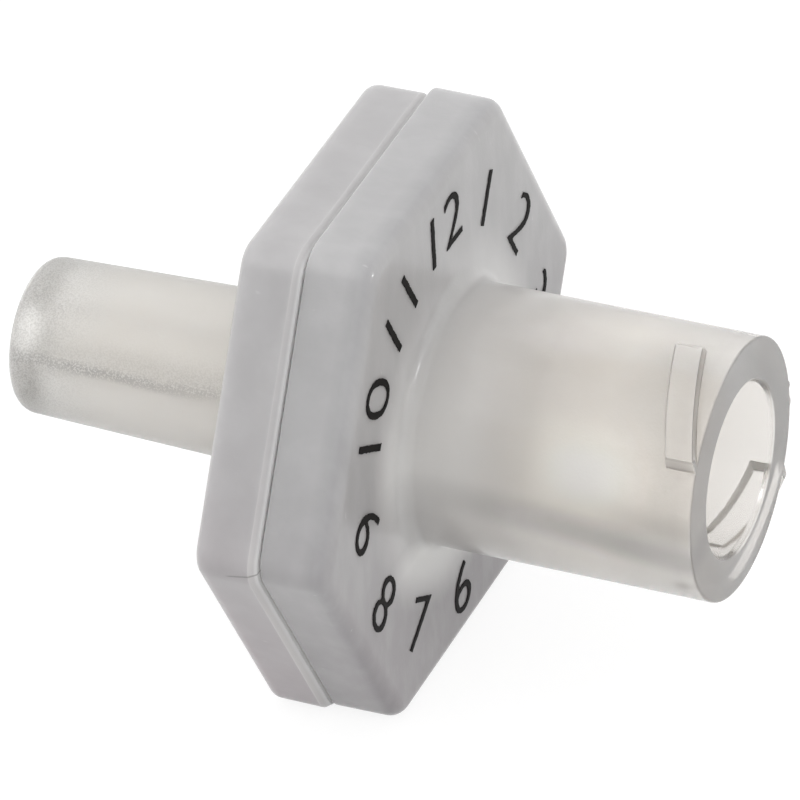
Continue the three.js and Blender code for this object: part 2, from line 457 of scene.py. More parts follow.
def close_shell(mesh):
    """Merges doubles, turns the faces outwards and shades the rounds smooth."""
    shell = bmesh.new()
    shell.from_mesh(mesh)
    bmesh.ops.remove_doubles(shell, verts=shell.verts, dist=SAME_PLACE)
    bmesh.ops.recalc_face_normals(shell, faces=shell.faces)
    shell.to_mesh(mesh)
    shell.free()
    mesh.polygons.foreach_set("use_smooth", [True] * len(mesh.polygons))
    mesh.set_sharp_from_angle(angle=SHARP_EDGE)


def body_profile(body, half_flats):
    """From the weld out to the rim of the face, as (x, radius, edge round)."""
    rim = half_flats - (body["depth"] - body["bevel"]) * DRAFT
    return [
        (AIR, half_flats - GROOVE_DEPTH, 0),
        (body["bevel"], half_flats, GROOVE_EDGE_ROUND),
        (body["depth"], rim, body["rim_round"]),
    ]


def inlet_profile():
    """Round the outside to the mouth, down the bore, and out over the chamber and the bead."""
    return [
        *body_profile(INLET_BODY, INLET_HALF_FLATS),
        (INLET_BODY["depth"], PORT_RADIUS, PORT_ROOT_FILLET),
        (MOUTH_X, PORT_RADIUS, PORT_MOUTH_ROUND),
        (MOUTH_X, BORE_MOUTH_RADIUS + BORE_LEAD_IN, BORE_MOUTH_ROUND),
        (MOUTH_X - BORE_LEAD_IN, BORE_MOUTH_RADIUS, BORE_LEAD_ROUND),
        (BORE_FLOOR_X, BORE_FLOOR_RADIUS, BORE_FLOOR_ROUND),
        (BORE_FLOOR_X, INLET_HOLE_RADIUS, INLET_HOLE_ROUND),
        (CHAMBER_DEPTH, INLET_HOLE_RADIUS, INLET_HOLE_ROUND),
        (CHAMBER_DEPTH, CHAMBER_RADIUS, INSIDE_ROUND),
        (AIR, CHAMBER_RADIUS, CHAMBER_EDGE_ROUND),
        (AIR, BEAD_INNER_RADIUS, 0),
        (AIR - BEAD_HEIGHT, BEAD_INNER_RADIUS, SEAT_ROUND),
        (AIR - BEAD_HEIGHT, BEAD_OUTER_RADIUS, SEAT_ROUND),
        (AIR, BEAD_OUTER_RADIUS, 0),
    ]


def burr_mouth(piece):
    """Raises the burrs on the outer edge of the port's mouth."""
    middle = Vector((WELD_X + MOUTH_X, INLET_AXIS.y, INLET_AXIS.z))
    for vertex in piece.data.vertices:
        place = vertex.co / MM - middle
        away = Vector((0, place.y, place.z))
        radius = away.length
        if place.x < -BURR_LENGTH or radius < PORT_RADIUS - PORT_MOUTH_ROUND - SUPPORT_SPACING:
            continue
        for angle, half_width in BURRS:
            across = (math.atan2(place.z, place.y) - angle) * radius / half_width
            rise = max(0, 1 - across**2) * (1 + place.x / BURR_LENGTH)
            vertex.co += away * (BURR_HEIGHT * rise / radius * MM)


def outlet_profile():
    """Round the outside to the tip, down the bore, and out over the drain and the pocket."""
    root_radius = TIP_RADIUS + TUBE_TAPER * (TIP_X - OUTLET_BODY["depth"])
    return [
        *body_profile(OUTLET_BODY, OUTLET_HALF_FLATS),
        (OUTLET_BODY["depth"], root_radius, TUBE_ROOT_FILLET),
        (TIP_X, TIP_RADIUS, TIP_ROUND),
        (TIP_X, OUTLET_BORE_RADIUS, OUTLET_BORE_ROUND),
        (POCKET_DEPTH + DRAIN_DEPTH, OUTLET_BORE_RADIUS, OUTLET_BORE_ROUND),
        (POCKET_DEPTH + DRAIN_DEPTH, DRAIN_RADIUS, INSIDE_ROUND),
        (POCKET_DEPTH, DRAIN_RADIUS, SEAT_ROUND),
        (POCKET_DEPTH, POCKET_RADIUS, INSIDE_ROUND),
        (AIR, POCKET_RADIUS, SEAT_ROUND),
    ]


# ---------------------------------------------------------------- what repeats, by Geometry Nodes


def grow(piece, tree_name, build, sizes, material):
    """Adds to a piece what a Geometry Nodes tree makes, and leaves a plain mesh.

    build(bench, size) returns the new geometry. Each size is an input of the tree.
    """
    tree = bpy.data.node_groups.new(tree_name, "GeometryNodeTree")
    bench = Bench(tree)
    face = tree.interface
    face.new_socket("Geometry", in_out="INPUT", socket_type="NodeSocketGeometry")
    face.new_socket("Geometry", in_out="OUTPUT", socket_type="NodeSocketGeometry")
    modifier = piece.modifiers.new(tree_name, "NODES")
    identifiers = {}
    for name, value in sizes.items():
        kind = "NodeSocketInt" if isinstance(value, int) else "NodeSocketFloat"
        identifiers[name] = face.new_socket(name, in_out="INPUT", socket_type=kind).identifier
    modifier.node_group = tree
    for name, value in sizes.items():
        modifier[identifiers[name]] = value
    given = bench.node("NodeGroupInput")
    size = {name: given.out(name) for name in sizes}
    added = build(bench, size)
    if piece.data.vertices:
        together = {"Mesh 2": [given.out("Geometry"), added]}
        settings = {"operation": "UNION", "solver": "MANIFOLD"}
        added = bench.node("GeometryNodeMeshBoolean", settings, together)
    whole = bench.node("GeometryNodeRealizeInstances", None, {"Geometry": added})
    sockets = {"Geometry": whole, "Material": material}
    finished = bench.node("GeometryNodeSetMaterial", None, sockets)
    bench.node("NodeGroupOutput", None, {"Geometry": finished})
    seen = piece.evaluated_get(bpy.context.evaluated_depsgraph_get())
    plain = bpy.data.meshes.new_from_object(seen)
    piece.modifiers.remove(modifier)
    piece.data = plain
    close_shell(plain)


def around_flow(bench, shape, count, axis):
    """Copies of a shape, turned evenly about a line along X."""
    sockets = {"Count": count, "Start Location": axis, "Offset": (0, 0, 0)}
    points = bench.node("GeometryNodeMeshLine", None, sockets)
    index = bench.node("GeometryNodeInputIndex")
    turn = bench.vector(index * math.tau / count, 0.0, 0.0)
    sockets = {"Points": points, "Instance": shape, "Rotation": turn}
    copies = bench.node("GeometryNodeInstanceOnPoints", None, sockets)
    return bench.node("GeometryNodeRealizeInstances", None, {"Geometry": copies})


def lug_tree(bench, size):
    """Helical lugs: each starts flush with the mouth and runs out at its far end.

    The end at the mouth slopes back: its crest starts later round the port than its foot.
    """
    block = bench.node("GeometryNodeMeshCube", None, {"Size": (1, 1, 1), **LUG_FINENESS})
    along, across, up = bench.parts(bench.node("GeometryNodeInputPosition"))
    height = up + 0.5
    share = 0.5 - along
    swept = share * size["Sweep"]
    lean = (1 - share) * size["End Slope"] * (2 * height - 1)
    rise = ((size["Sweep"] - swept) / size["Run Out"]).most(0.0).least(1.0) ** 0.5
    crest = size["Sunk Radius"] + (size["Crest Radius"] - size["Sunk Radius"]) * rise
    radius = size["Sunk Radius"] + (crest - size["Sunk Radius"]) * height
    width = size["Root Width"] + (size["Crest Width"] - size["Root Width"]) * height
    width = width - 2 * size["Edge"] * height.between(*LUG_EDGE_HEIGHTS)
    middle = size["Mouth"] - size["Crest Width"] / 2 - size["Lead"] / math.tau * swept
    back = middle - width / 2
    front = (middle + width / 2).least(size["Mouth"] - AIR * MM)
    x = back + (front - back) * (across + 0.5)
    angle = size["Start"] + swept + lean
    place = bench.vector(x, -1 * radius * angle.cos(), radius * angle.sin())
    sockets = {"Geometry": block, "Position": place}
    lug = bench.node("GeometryNodeSetPosition", None, sockets)
    return around_flow(bench, lug, size["Count"], (0, *(INLET_AXIS * MM).yz))


def rib_tree(axis):
    def build(bench, size):
        """Straight ribs like spokes, between two radii."""
        length = size["Outer Radius"] - size["Inner Radius"]
        block = bench.vector(size["Height"], length, size["Width"])
        rib = bench.node("GeometryNodeMeshCube", None, {"Size": block, **RIB_FINENESS})
        middle = (size["Outer Radius"] + size["Inner Radius"]) / 2
        sockets = {"Geometry": rib, "Translation": bench.vector(size["Middle X"], middle, 0.0)}
        placed = bench.node("GeometryNodeTransform", None, sockets)
        return around_flow(bench, placed, size["Count"], (0, *(axis * MM).yz))

    return build


def add_lugs(piece, material):
    sizes = {
        "Mouth": (WELD_X + MOUTH_X) * MM,
        "Crest Radius": LUG_CREST_RADIUS * MM,
        "Sunk Radius": LUG_SUNK_RADIUS * MM,
        "Crest Width": LUG_CREST_WIDTH * MM,
        "Root Width": LUG_ROOT_WIDTH * MM,
        "Edge": LUG_EDGE * MM,
        "Lead": LUG_LEAD * MM,
        "Start": LUG_START,
        "Sweep": LUG_SWEEP,
        "End Slope": LUG_END_SLOPE,
        "Run Out": LUG_RUN_OUT,
        "Count": LUG_COUNT,
    }
    grow(piece, "thread_lugs", lug_tree, sizes, material)


def add_ribs(piece, name, axis, low_x, high_x, outer, material):
    sizes = {
        "Middle X": (WELD_X + (low_x + high_x) / 2) * MM,
        "Height": (high_x - low_x) * MM,
        "Width": RIB_WIDTH * MM,
        "Inner Radius": RIB_INNER_RADIUS * MM,
        "Outer Radius": outer * MM,
        "Count": RIB_COUNT,
    }
    grow(piece, name, rib_tree(axis), sizes, material)


# ---------------------------------------------------------------- materials

# Ranges below are millimetres: out from the weld, from the flow axis (radius), above it (height)
# and past it towards +Y (side). A slope is a height as a share of the radius.

NO_TINT = (1, 1, 1)
PLASTIC_IOR = 1.49

# Painted shade on the body's lower part, which is pinker there too, and beside the weld low on the
# inlet half.
BODY_RADII = (3.4, 4.4)
LOW_SHADE_HEIGHTS = (-6.0, 4.0)
LOW_SEAM_SHADE = {"share": 0.4, "heights": (-6.0, 1.0), "out": (0.15, 1.0), "haze": (0.30, 0.29, 0.30)}

# Light that comes out round the port's root: its level by the height above the port's lowest line.
ROOT_GLOW = {"radii": (3.6, 5.2), "out": (3.0, 5.5), "haze": (0.9, 0.89, 0.87)}
ROOT_GLOW_LEVELS = [(0.6, 1.0), (1.3, 0.40), (2.4, 0.42), (3.8, 0.75), (5.5, 0.5), (7.5, 0.08)]

# Unevenness of the moulding: a mark shows over the rise of its noise.
CLOUD_NOISE = {"scale": 0.35, "detail": 3.0, "roughness": 0.5}
CLOUDS = {"share": 0.08, "rise": (0.5, 0.68), "haze": (0.25, 0.245, 0.25)}
PATCH_NOISE = {"scale": 0.9, "detail": 3.0, "roughness": 0.6}
PATCH_STRETCH = (1, 1.6, 0.6)
PATCHES = {"share": 0.1, "rise": (0.35, 0.75), "haze": (0.85, 0.85, 0.85)}
SCUFF_NOISE = {"scale": 1.6, "detail": 2.0, "roughness": 0.5}
SCUFF_STRETCH = (1, 4.0, 1.2)
SCUFFS = {"share": 0.25, "rise": (0.72, 0.8), "haze": (0.9, 0.9, 0.9)}
GRAIN_NOISE = {"scale": 14.0, "detail": 2.0, "roughness": 0.6}
GRIT_NOISE = {"scale": 24.0, "detail": 2.0, "roughness": 0.5}
GLINT_RISE = (0.5, 0.6)
SPECK_RISE = (0.38, 0.48)

# The port's brightest line, and how it darkens where it turns away above and below that line.
LIT_SLOPE = 0.38
LIT = {"width": (0.05, 0.5), "from": (4.0, 6.5), "to": (7.0, 9.0), "haze": (1.0, 0.97, 0.91)}
AWAY = {"share": 0.32, "below": (-0.75, -0.1), "above": (0.45, 0.95), "above_share": 0.8}
AWAY_REACH = {"out": (4.0, 8.0), "side": (-1.5, 0.5)}
AWAY_HAZE = (0.30, 0.295, 0.29)

# Painted dark streaks along the port and along the outlet tube: the reflection of the shade below
# each tube.
STREAK_OUT = (1.0, 8.5)
STREAK_HAZE = (0.22, 0.215, 0.21)
STREAK_CLEAR_SHARE = 1.3
PORT_STREAK = {"slope": 0.095, "lean": 0.0305, "width": (0.05, 0.75), "depth": 0.66}
TUBE_STREAK = {"slope": 0.31, "width": (0.03, 0.24), "depth": 0.6, "grit": 0.9, "fade": 0.7}
TUBE_STREAK_FADE = (TIP_X - 2.5, TIP_X - 0.5)
WANDER_NOISE = {"scale": 0.9, "detail": 2.0, "roughness": 0.5}
WANDER = 0.25

# Frosted texture at the outlet tip and above its painted streak: a real bump, with painted glints and
# dark specks for its sparkle.
FROST_OUT = (TIP_X - 3.0, TIP_X - 0.2)
FROST_BESIDE = {"share": 0.7, "width": (0.1, 0.9), "out": (2.0, 3.0)}
FROST_PAINTED_GLINTS = (0.55, (0.97, 0.97, 0.96))
FROST_PAINTED_SPECKS = (0.45, (0.28, 0.28, 0.27))
FROST_HEIGHT = 4.0

# Painted light at the weld: a pale edge on the bevel beside the groove, palest below, and painted
# light in the groove itself against its shade.
BEVEL_LIGHT_FADE = 0.03
BEVEL_LIGHT_HEIGHTS = (-4.0, 3.0)
BEVEL_LIGHT_TOP_SHARE = 0.3
PAINTED_BEVEL_LIGHT = (0.72, 0.70, 0.69)
PAINTED_GROOVE_LIGHT = {"share": 0.45, "out": (0.03, 0.1), "haze": (1.0, 1.0, 1.0)}

# A scratch across the outlet half's corner that points sideways.
SCRATCH = {"share": 0.6, "drop": 0.04, "slant": 0.2, "width": (0.008, 0.035)}
SCRATCH_REACH = {"side": -7.0, "out": (0.65, 0.85)}
SCRATCH_HAZE = (0.16, 0.15, 0.15)
SCRATCH_DEPTH = 2.0

# Painted shade and light on the lugs' flanks, and on the flat ring round the mouth. A point is on a
# face within the margin.
FACE_MARGIN = 0.03
LUG_ZONE = {"above": 0.02, "length": 4.0}
NEAR_FLANK_PAINTED_SHADE = (0.50, 0.47, 0.44)
FAR_FLANK_PAINTED_LIGHT = (0.72, 0.69, 0.65)
FLANK_EDGE_SHADE = {"share": 0.5, "from_middle": 0.1, "haze": (0.26, 0.23, 0.20)}
FLANK_MILK = {"near": 0.5, "far": 0.15}
FAR_FLANK_ROUGHNESS = 0.7
NEAR_LUG_SHADE = 0.25
END_SHARE = 0.5
END_SIDES = (-2.5, 0.5)
END_SHADE_AND_LIGHT = (0.74, 0.69, 0.66), (0.97, 0.98, 1.0)

# How the clear and the milky plastic share the tube, and the darker clear colour that paints shade.
DARK_CLEAR = (0.5, 0.48, 0.46)
FAR_THINNING = {"share": 0.3, "side": (0.0, 2.0), "out": (3.0, 6.0)}
BORE_THINNING = 0.85

# The haze holds painted light and shade: darker over the inlet face and at the port's mouth, which
# turn away from the light, and lighter along the tubes, where light comes through their thin walls.
INLET_LOOK = {
    "haze": [
        (1.10, (0.505, 0.50, 0.505)),
        (1.60, (0.41, 0.405, 0.412)),
        (2.60, (0.585, 0.565, 0.55)),
        (4.60, (0.72, 0.685, 0.65)),
        (6.80, (0.785, 0.742, 0.685)),
        (9.00, (0.58, 0.555, 0.52)),
    ],
    "low_shade_tint": (0.71, 0.67, 0.69),
    "milk": [(1.8, 0.87), (3.0, 0.74), (5.0, 0.52), (7.0, 0.42), (9.0, 0.27)],
    "clear": (0.95, 0.923, 0.885),
    "clear_roughness": 0.08,
    "bore_radius": BORE_MOUTH_RADIUS + BORE_LEAD_IN / 2,
    "weld_from": INLET_BODY["bevel"],
    "bevel_light_share": 0.5,
}
OUTLET_LOOK = {
    "haze": [
        (1.50, (0.505, 0.495, 0.50)),
        (1.90, (0.69, 0.66, 0.615)),
        (6.50, (0.71, 0.68, 0.63)),
        (9.20, (0.67, 0.655, 0.625)),
    ],
    "low_shade_tint": (0.88, 0.805, 0.83),
    "milk": [(1.7, 0.87), (3.0, 0.55), (9.0, 0.5)],
    "clear": (0.98, 0.965, 0.94),
    "clear_roughness": 0.29,
    "bore_radius": OUTLET_BORE_RADIUS + AIR,
    "weld_from": OUTLET_BODY["bevel"],
    "bevel_light_share": 0.9,
}


class Spot:
    """Where a point of a half is, in millimetres from the weld and from the flow axis."""

    def __init__(self, bench, axis):
        self.place = object_place(bench, (WELD_X * MM, axis.y * MM, axis.z * MM))
        along, self.side, self.height = bench.parts(self.place)
        self.out = along.size()
        self.radius = (self.side * self.side + self.height * self.height) ** 0.5
        self.slope = self.height / self.radius
        self.near = self.side < 0
        self.in_body = self.radius.between(*BODY_RADII)
        self.clouds = bench.noise(self.place, **CLOUD_NOISE)


def body_haze(bench, spot, look):
    """Haze by the distance from the weld, with its painted light and shade, and painted shade low on
    the body, which is pinker there too.
    """
    low = spot.in_body * (1 - spot.height.between(*LOW_SHADE_HEIGHTS))
    tint = bench.mix(low, NO_TINT, look["low_shade_tint"])
    return bench.scaled(bench.along(spot.out, look["haze"]), tint)


def low_seam_haze(bench, spot, haze):
    """Painted shade: the inlet half is darker low down, beside the weld."""
    low = 1 - spot.height.between(*LOW_SEAM_SHADE["heights"])
    beside = 1 - spot.out.between(*LOW_SEAM_SHADE["out"])
    return bench.mix(LOW_SEAM_SHADE["share"] * low * beside * spot.in_body, haze, LOW_SEAM_SHADE["haze"])


def root_glow_haze(bench, spot, haze):
    """Light piped along the port comes out round its root, most of all at its side and below it."""
    glow = 1 - spot.radius.between(*ROOT_GLOW["radii"])
    glow = glow * (1 - spot.out.between(*ROOT_GLOW["out"]))
    level = bench.level(spot.height + PORT_RADIUS, ROOT_GLOW_LEVELS)
    return bench.mix(glow * level, haze, ROOT_GLOW["haze"])


def marked(bench, haze, noise, marks, within=1.0):
    share = marks["share"] * noise.between(*marks["rise"]) * within
    return bench.mix(share, haze, marks["haze"])


def uneven_haze(bench, spot, haze):
    """Pale patches all over, and darker clouds and pale scuffs on the body."""
    patches = bench.noise(bench.scaled(spot.place, PATCH_STRETCH), **PATCH_NOISE)
    scuffs = bench.noise(bench.scaled(spot.place, SCUFF_STRETCH), **SCUFF_NOISE)
    haze = marked(bench, haze, patches, PATCHES)
    haze = marked(bench, haze, spot.clouds, CLOUDS, spot.in_body)
    return marked(bench, haze, scuffs, SCUFFS, spot.in_body)


def lit_line_haze(bench, spot, haze):
    """The port is brightest on the line that light reaches both ways."""
    lit = (1 - (spot.slope - LIT_SLOPE).size().between(*LIT["width"])) * spot.near
    lit = lit * spot.out.between(*LIT["from"]) * (1 - spot.out.between(*LIT["to"]))
    return bench.mix(lit, haze, LIT["haze"])


def turned_away(spot):
    """How dark the port's near side is where it turns away, below and above the lit line."""
    away = 1 - spot.slope.between(*AWAY["below"])
    away = away + AWAY["above_share"] * spot.slope.between(*AWAY["above"])
    away = AWAY["share"] * away * spot.out.between(*AWAY_REACH["out"])
    return away * (1 - spot.side.between(*AWAY_REACH["side"]))


def flow_line(spot, middle, flow):
    """A painted dark streak along a tube, the reflection of the shade below it: the distance from it,
    and its strength.
    """
    line = (spot.slope - middle).size() * spot.radius
    strength = flow["depth"] * (1 - line.between(*flow["width"])) * spot.near
    return line, strength * spot.out.between(*STREAK_OUT)


def weld_haze(bench, spot, haze, look):
    """Painted light on the bevel along the groove, palest below, and in the groove against its shade.
    """
    edge = 1 - spot.out.between(look["weld_from"], look["weld_from"] + BEVEL_LIGHT_FADE)
    low = 1 - spot.height.between(*BEVEL_LIGHT_HEIGHTS)
    pale = look["bevel_light_share"] * edge * (BEVEL_LIGHT_TOP_SHARE + (1 - BEVEL_LIGHT_TOP_SHARE) * low)
    haze = bench.mix(pale, haze, PAINTED_BEVEL_LIGHT)
    groove = PAINTED_GROOVE_LIGHT["share"] * (1 - spot.out.between(*PAINTED_GROOVE_LIGHT["out"]))
    return bench.mix(groove, haze, PAINTED_GROOVE_LIGHT["haze"])


def finish_plastic(bench, spot, look, haze, relief, dark, rougher=0.0, milkier=0.0):
    """Natural polypropylene: clear plastic with a share of milky plastic, which has the haze.

    relief is the height of the bump, and dark the share of the darker colour in the clear part, which
    paints shade and dark streaks.
    """
    bump = bench.node("ShaderNodeBump", None, {
        "Strength": 0.3, "Distance": 0.01 * MM, "Height": relief,
    })
    milky = bench.node("ShaderNodeBsdfPrincipled", None, {
        "Base Color": haze,
        "Roughness": 0.29 + 0.14 * spot.clouds,
        "Normal": bump,
        "IOR": PLASTIC_IOR,
        "Subsurface Weight": 1.0,
        "Subsurface Radius": (1.0, 1.0, 1.0),
        "Subsurface Scale": 1.0 * MM,
        "Coat Weight": 0.35,
        "Coat Roughness": 0.12,
    })
    clear = bench.node("ShaderNodeBsdfPrincipled", None, {
        "Base Color": bench.mix(dark, look["clear"], DARK_CLEAR),
        "Roughness": look["clear_roughness"] + 0.1 * spot.clouds + rougher,
        "Normal": bump,
        "IOR": PLASTIC_IOR,
        "Transmission Weight": 1.0,
    })
    far = spot.side.between(*FAR_THINNING["side"]) * spot.out.between(*FAR_THINNING["out"])
    milk = bench.level(spot.out, look["milk"]) * (1 - FAR_THINNING["share"] * far) + milkier
    milk = milk * (1 - BORE_THINNING * (spot.radius < look["bore_radius"]))
    finish_material(bench, bench.node("ShaderNodeMixShader", None, {0: milk, 1: clear, 2: milky}))


def inlet_plastic():
    """The inlet half: hazy in the body, with a port that clears towards its mouth and its lugs."""
    material, bench = new_material("inlet_plastic")
    spot = Spot(bench, INLET_AXIS)
    haze = body_haze(bench, spot, INLET_LOOK)
    haze = low_seam_haze(bench, spot, haze)
    haze = root_glow_haze(bench, spot, haze)
    haze = uneven_haze(bench, spot, haze)
    haze = lit_line_haze(bench, spot, haze)
    away = turned_away(spot)
    haze = bench.mix(away, haze, AWAY_HAZE)
    # Painted dark streak along the port's near side: the reflection of the shade below it.
    middle = PORT_STREAK["slope"] - PORT_STREAK["lean"] * spot.out
    _, flow = flow_line(spot, middle, PORT_STREAK)
    haze = bench.mix(flow, haze, STREAK_HAZE)
    haze = weld_haze(bench, spot, haze, INLET_LOOK)
    # The lugs' flanks are milkier, with painted shade on the near one's flanks and darker along its
    # two edges, and painted light on the far one's.
    far_lug = spot.height < 0
    in_lug = (spot.radius > PORT_RADIUS + LUG_ZONE["above"]) * (spot.out < MOUTH_X - FACE_MARGIN)
    in_lug = in_lug * (spot.out > MOUTH_X - LUG_ZONE["length"])
    flank = in_lug * (spot.radius < LUG_CREST_RADIUS - FACE_MARGIN)
    from_middle = (spot.radius - (PORT_RADIUS + LUG_CREST_RADIUS) / 2).size()
    haze = bench.mix(flank, haze, bench.mix(far_lug, NEAR_FLANK_PAINTED_SHADE, FAR_FLANK_PAINTED_LIGHT))
    # Painted shade on the near side of the flat ring round the mouth, and painted light on its far
    # side.
    end_painted_tone = bench.mix(spot.side.between(*END_SIDES), *END_SHADE_AND_LIGHT)
    haze = bench.mix(END_SHARE * (spot.out > MOUTH_X - FACE_MARGIN), haze, end_painted_tone)
    edge = flank * (from_middle > FLANK_EDGE_SHADE["from_middle"]) * (1 - far_lug)
    haze = bench.mix(FLANK_EDGE_SHADE["share"] * edge, haze, FLANK_EDGE_SHADE["haze"])
    # Painted shade in the clear part's darker colour: along the streak, on the near lug, and where
    # the port turns away.
    dark = (STREAK_CLEAR_SHARE * flow).most(NEAR_LUG_SHADE * in_lug * (1 - far_lug)).most(away)
    milk_of_flank = FLANK_MILK["near"] + (FLANK_MILK["far"] - FLANK_MILK["near"]) * far_lug
    finish_plastic(
        bench, spot, INLET_LOOK, haze, bench.noise(spot.place, **GRAIN_NOISE), dark,
        rougher=FAR_FLANK_ROUGHNESS * flank * far_lug, milkier=milk_of_flank * flank,
    )
    return material


def outlet_plastic():
    """The outlet half: hazy in the body, with a frosted tip whose sparkle is painted."""
    material, bench = new_material("outlet_plastic")
    spot = Spot(bench, OUTLET_AXIS)
    haze = body_haze(bench, spot, OUTLET_LOOK)
    haze = uneven_haze(bench, spot, haze)
    grit = bench.noise(spot.place, **GRIT_NOISE)
    glint = grit.between(*GLINT_RISE)
    # The painted dark streak is broken up by grit, and fades towards the tip.
    wander = WANDER * (bench.noise(spot.place, **WANDER_NOISE) - 0.5)
    line, flow = flow_line(spot, TUBE_STREAK["slope"] - TUBE_STREAK["grit"] * wander, TUBE_STREAK)
    flow = flow * (1 - TUBE_STREAK["grit"] * glint)
    flow = flow * (1 - TUBE_STREAK["fade"] * spot.out.between(*TUBE_STREAK_FADE))
    haze = bench.mix(flow, haze, STREAK_HAZE)
    # The frosted texture is all round the tip, and lies above the painted streak along the tube; its
    # glints and dark specks are painted sparkle.
    above = (1 - line.between(*FROST_BESIDE["width"])) * (spot.slope > TUBE_STREAK["slope"])
    above = TUBE_STREAK["grit"] * above * spot.out.between(*FROST_BESIDE["out"])
    frost = spot.out.between(*FROST_OUT).most(FROST_BESIDE["share"] * above)
    share, colour = FROST_PAINTED_GLINTS
    haze = bench.mix(share * frost * glint, haze, colour)
    share, colour = FROST_PAINTED_SPECKS
    haze = bench.mix(share * frost * (1 - grit.between(*SPECK_RISE)), haze, colour)
    haze = weld_haze(bench, spot, haze, OUTLET_LOOK)
    across = (spot.height + SCRATCH["drop"] + SCRATCH["slant"] * spot.out).size()
    scratch = (1 - across.between(*SCRATCH["width"])) * (spot.side < SCRATCH_REACH["side"])
    scratch = SCRATCH["share"] * scratch * (1 - spot.out.between(*SCRATCH_REACH["out"]))
    haze = bench.mix(scratch, haze, SCRATCH_HAZE)
    grain = bench.noise(spot.place, **GRAIN_NOISE)
    relief = grain + FROST_HEIGHT * grit * frost - SCRATCH_DEPTH * scratch
    finish_plastic(bench, spot, OUTLET_LOOK, haze, relief, STREAK_CLEAR_SHARE * flow)
    return material


MEMBRANE_COLOURS = (0.80, 0.80, 0.78), (0.90, 0.90, 0.88)
RING_COLOURS = (0.66, 0.66, 0.65), (0.74, 0.74, 0.72)
INK_COLOURS = (0.006, 0.005, 0.005), (0.02, 0.018, 0.016)
INK_WEAR_RISE = (0.45, 0.8)


def membrane_fabric():
    """The membrane: a matt white sheet with a fine felted surface."""
    material, bench = new_material("membrane_fabric")
    fibres = bench.noise(object_place(bench), scale=9.0, detail=4.0, roughness=0.65)
    bump = bench.node("ShaderNodeBump", None, {
        "Strength": 0.5, "Distance": 0.02 * MM, "Height": fibres,
    })
    shader = bench.node("ShaderNodeBsdfPrincipled", None, {
        "Base Color": bench.mix(fibres, *MEMBRANE_COLOURS),
        "Roughness": 0.85 + 0.1 * fibres,
        "Normal": bump,
    })
    finish_material(bench, shader)
    return material


def ring_plastic():
    """The clamping ring: the same plastic as the halves, but more opaque."""
    material, bench = new_material("ring_plastic")
    clouds = bench.noise(object_place(bench), scale=0.8, detail=2.0, roughness=0.5)
    shader = bench.node("ShaderNodeBsdfPrincipled", None, {
        "Base Color": bench.mix(clouds, *RING_COLOURS),
        "Roughness": 0.4 + 0.15 * clouds,
        "Subsurface Weight": 0.5,
        "Subsurface Scale": 0.5 * MM,
    })
    finish_material(bench, shader)
    return material


def print_ink():
    """Black stamped ink, thin and a little worn."""
    material, bench = new_material("print_ink")
    wear = bench.noise(object_place(bench), scale=6.0, detail=4.0, roughness=0.7)
    shader = bench.node("ShaderNodeBsdfPrincipled", None, {
        "Base Color": bench.mix(wear.between(*INK_WEAR_RISE), *INK_COLOURS),
        "Roughness": 0.5 + 0.25 * wear,
        "Specular IOR Level": 0.08,
    })
    finish_material(bench, shader)
    return material


# ---------------------------------------------------------------- pieces


def turned(name, profile):
    """A round piece inside the outlet half, from a closed profile of (x, radius, edge round)."""
    return moulded(name, profile, POCKET_RADIUS, OUTLET_AXIS, -1)


def make_membrane():
    back, front = POCKET_DEPTH - AIR, POCKET_DEPTH - MEMBRANE_THICKNESS
    return turned("membrane_disc", [
        (back, MEMBRANE_CENTRE_RADIUS, 0),
        (back, MEMBRANE_RADIUS, SEAT_ROUND),
        (front, MEMBRANE_RADIUS, SEAT_ROUND),
        (front, MEMBRANE_CENTRE_RADIUS, 0),
    ])


def make_ring():
    back, front = POCKET_DEPTH - MEMBRANE_THICKNESS - AIR, BEAD_HEIGHT + AIR
    return turned("clamping_ring", [
        (back, RING_INNER_RADIUS, RING_EDGE_ROUND),
        (back, RING_OUTER_RADIUS, RING_EDGE_ROUND),
        (front, RING_OUTER_RADIUS, RING_EDGE_ROUND),
        (front, RING_INNER_RADIUS, RING_EDGE_ROUND),
    ])


